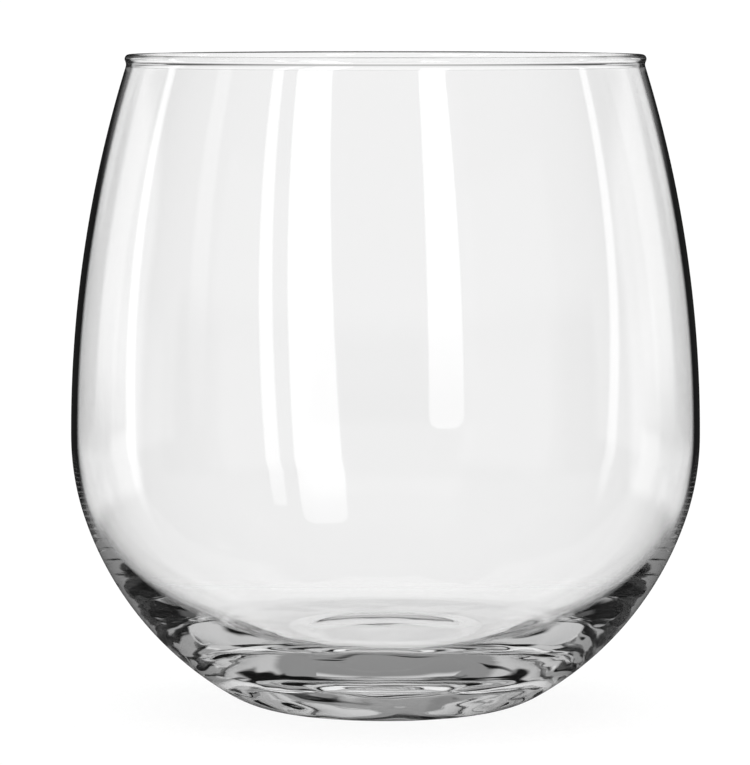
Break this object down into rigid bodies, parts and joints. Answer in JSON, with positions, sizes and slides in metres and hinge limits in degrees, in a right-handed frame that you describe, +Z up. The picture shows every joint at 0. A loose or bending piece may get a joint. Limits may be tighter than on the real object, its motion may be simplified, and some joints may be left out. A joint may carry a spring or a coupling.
{
  "type": "stemless wine glass",
  "caption": "Clear stemless wine glass: a round-bellied bowl that narrows to a thin beaded rim and rolls into a thick, flat-footed base, for holding drinks.",
  "frame": {"origin": "centre of the plane that the foot's flat ring rests on, on the axis of the glass", "axes": "+Z up along the axis of the glass, from the foot to the rim; X and Y are free, because the glass is round"},
  "size_m": [0.0984, 0.0984, 0.1022],
  "materials": {
    "clear_glass": "clear, fire-polished"
  },
  "bodies": {
    "root": {"glass_bowl": "clear_glass"}
  },
  "joints": []
}
